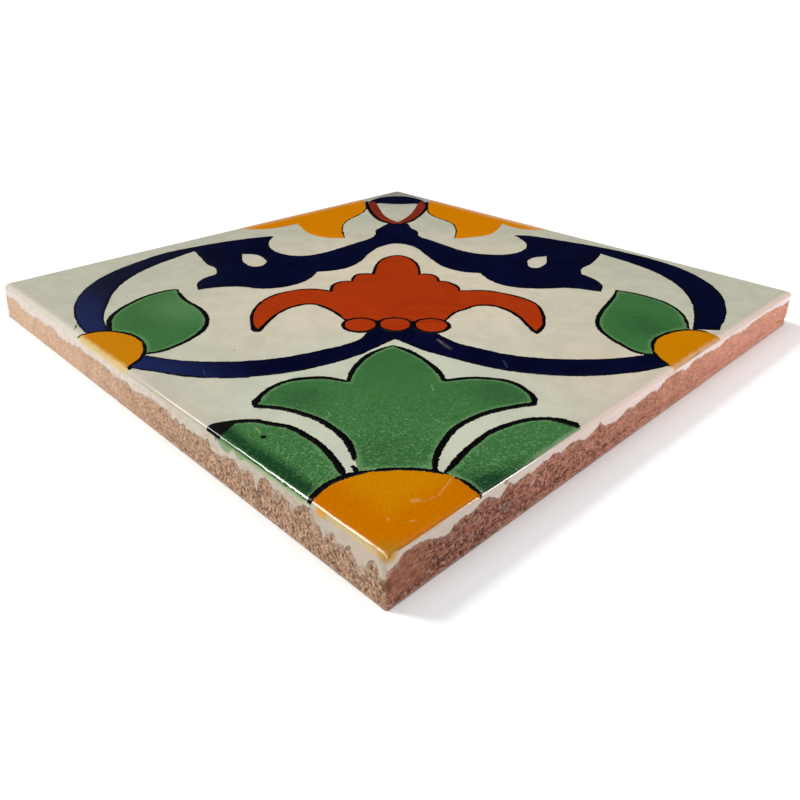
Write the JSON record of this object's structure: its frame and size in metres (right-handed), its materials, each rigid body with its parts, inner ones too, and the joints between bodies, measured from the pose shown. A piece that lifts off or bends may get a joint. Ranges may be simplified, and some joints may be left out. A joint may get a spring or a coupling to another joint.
{
  "type": "talavera tile",
  "caption": "Square handmade ceramic wall tile with a glazed painted face, a glaze coat that laps over the upper edges, bare clay sides and shallow key grooves in the bed face.",
  "frame": {"origin": "centre of the bed face, which lies on the floor or in the mortar", "axes": "+Z out of the glazed face, X and Y along the sides, with the front corner of the pattern at -X -Y"},
  "size_m": [0.105, 0.105, 0.007],
  "materials": {
    "tile": "gloss"
  },
  "bodies": {
    "root": {"tile": "tile"}
  },
  "joints": []
}
